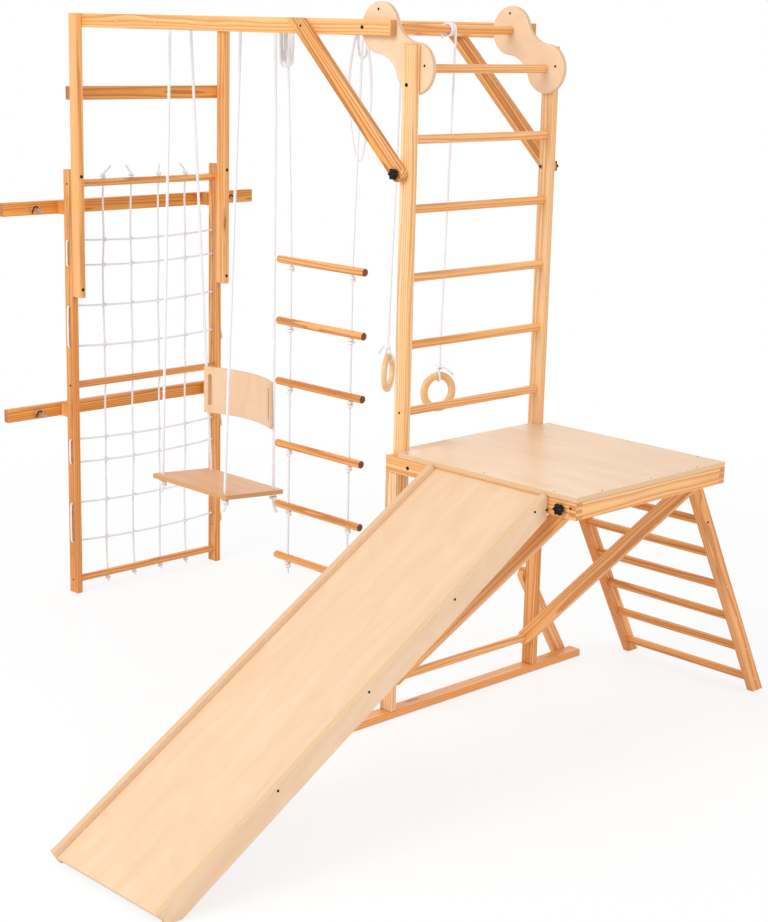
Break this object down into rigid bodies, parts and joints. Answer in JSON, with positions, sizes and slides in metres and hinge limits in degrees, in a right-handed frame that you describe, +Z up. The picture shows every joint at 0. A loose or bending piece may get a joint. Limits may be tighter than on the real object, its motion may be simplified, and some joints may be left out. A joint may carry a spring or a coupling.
{
  "type": "indoor climbing set",
  "caption": "Indoor wooden climbing set: wall ladder with net, overhead monkey bars, rung tower on a platform with slide and ladder, hanging swing, rope ladder and rings",
  "frame": {"origin": "on the floor, in the middle of the underside of the floor bearer, under the rung tower", "axes": "+Z up; -X towards the wall that the set is fixed to, +X towards the platform; -Y towards the foot of the slide, +Y towards the foot of the side ladder"},
  "size_m": [2.8353, 2.822, 2.4654],
  "materials": {
    "light_pine": "clear satin lacquer on light pine",
    "pale_pine": "clear satin lacquer on pale pine",
    "orange_pine": "clear satin lacquer on warm pine",
    "birch_plywood": "clear satin lacquer on birch plywood",
    "white_rope": "braided rope, matte",
    "black_plastic": "moulded, fine matte grain"
  },
  "bodies": {
    "frame": {"base_rung": "light_pine", "bearer_strut_front": "pale_pine", "bearer_strut_rear": "pale_pine", "connector_plate_front": "birch_plywood", "connector_plate_rear": "birch_plywood", "floor_bearer": "light_pine", "grip_rung": "light_pine", "knee_brace_front": "light_pine", "knee_brace_rear": "light_pine", "lower_post_front": "pale_pine", "lower_post_rear": "pale_pine", "monkey_bar_first": "light_pine", "net_lacing_lower": "white_rope", "net_lacing_upper": "white_rope", "net_upright_1": "white_rope", "net_upright_2": "white_rope", "net_upright_3": "white_rope", "net_upright_4": "white_rope", "overhead_ladder": "light_pine", "platform_brace_front": "pale_pine", "platform_brace_rear": "pale_pine", "platform_deck": "birch_plywood", "platform_rail_end": "pale_pine", "platform_rail_front": "pale_pine", "platform_rail_rear": "pale_pine", "side_ladder": "orange_pine", "slide_deck": "birch_plywood", "slide_side_left": "birch_plywood", "slide_side_right": "birch_plywood", "tower_ladder": "light_pine", "wall_board_lower": "orange_pine", "wall_board_upper": "orange_pine", "wall_lower_post_front": "orange_pine", "wall_lower_post_rear": "orange_pine", "wall_rung_bottom": "orange_pine", "wall_rung_middle": "orange_pine", "wall_rung_top": "orange_pine", "wall_top_rail": "orange_pine", "wall_upper_post_front": "orange_pine", "wall_upper_post_rear": "orange_pine"},
    "swing": {"swing_seat": "birch_plywood", "swing_backrest": "birch_plywood", "swing_rope_left": "white_rope", "swing_rope_right": "white_rope"},
    "rope_ladder": {"rope_ladder_rung_1": "orange_pine", "rope_ladder_rung_2": "orange_pine", "rope_ladder_rung_3": "orange_pine", "rope_ladder_rung_4": "orange_pine", "rope_ladder_rung_5": "orange_pine", "rope_ladder_rung_6": "orange_pine", "rope_ladder_cord_left": "white_rope", "rope_ladder_cord_right": "white_rope"},
    "ring_wall_side": {"ring_wall_side": "birch_plywood", "ring_cord_wall_side": "white_rope"},
    "ring_tower_side": {"ring_tower_side": "birch_plywood", "ring_cord_tower_side": "white_rope"},
    "knob_knee_front": {"knob_knee_front": "black_plastic"},
    "knob_knee_rear": {"knob_knee_rear": "black_plastic"},
    "knob_platform_front": {"knob_platform_front": "black_plastic"},
    "knob_platform_rear": {"knob_platform_rear": "black_plastic"}
  },
  "joints": [
    {"name": "swing_hinge", "type": "hinge", "parent": "frame", "child": "swing", "pos_m": [-1.364, -0.0515, 2.35], "axis": [1, 0, 0], "range_deg": [-35, 35], "deforming": ["swing_rope_left", "swing_rope_right"]},
    {"name": "rope_ladder_hinge", "type": "hinge", "parent": "frame", "child": "rope_ladder", "pos_m": [-0.7455, -0.055, 2.35], "axis": [1, 0, 0], "range_deg": [-30, 30], "deforming": ["rope_ladder_cord_left", "rope_ladder_cord_right"]},
    {"name": "ring_hinge_wall_side", "type": "hinge", "parent": "frame", "child": "ring_wall_side", "pos_m": [-0.408, -0.02, 2.35], "axis": [1, 0, 0], "range_deg": [-35, 35], "deforming": ["ring_cord_wall_side"]},
    {"name": "ring_hinge_tower_side", "type": "hinge", "parent": "frame", "child": "ring_tower_side", "pos_m": [-0.169, 0, 2.35], "axis": [1, 0, 0], "range_deg": [-35, 35], "deforming": ["ring_cord_tower_side"]},
    {"name": "knob_knee_front_turn", "type": "hinge", "parent": "frame", "child": "knob_knee_front", "pos_m": [-0.016, -0.3916, 1.91], "axis": [0, -1, 0], "continuous": true},
    {"name": "knob_knee_rear_turn", "type": "hinge", "parent": "frame", "child": "knob_knee_rear", "pos_m": [-0.016, 0.3916, 1.91], "axis": [0, 1, 0], "continuous": true},
    {"name": "knob_platform_front_turn", "type": "hinge", "parent": "frame", "child": "knob_platform_front", "pos_m": [0.759, -0.3916, 0.9257], "axis": [0, -1, 0], "continuous": true},
    {"name": "knob_platform_rear_turn", "type": "hinge", "parent": "frame", "child": "knob_platform_rear", "pos_m": [0.759, 0.3916, 0.9257], "axis": [0, 1, 0], "continuous": true}
  ]
}
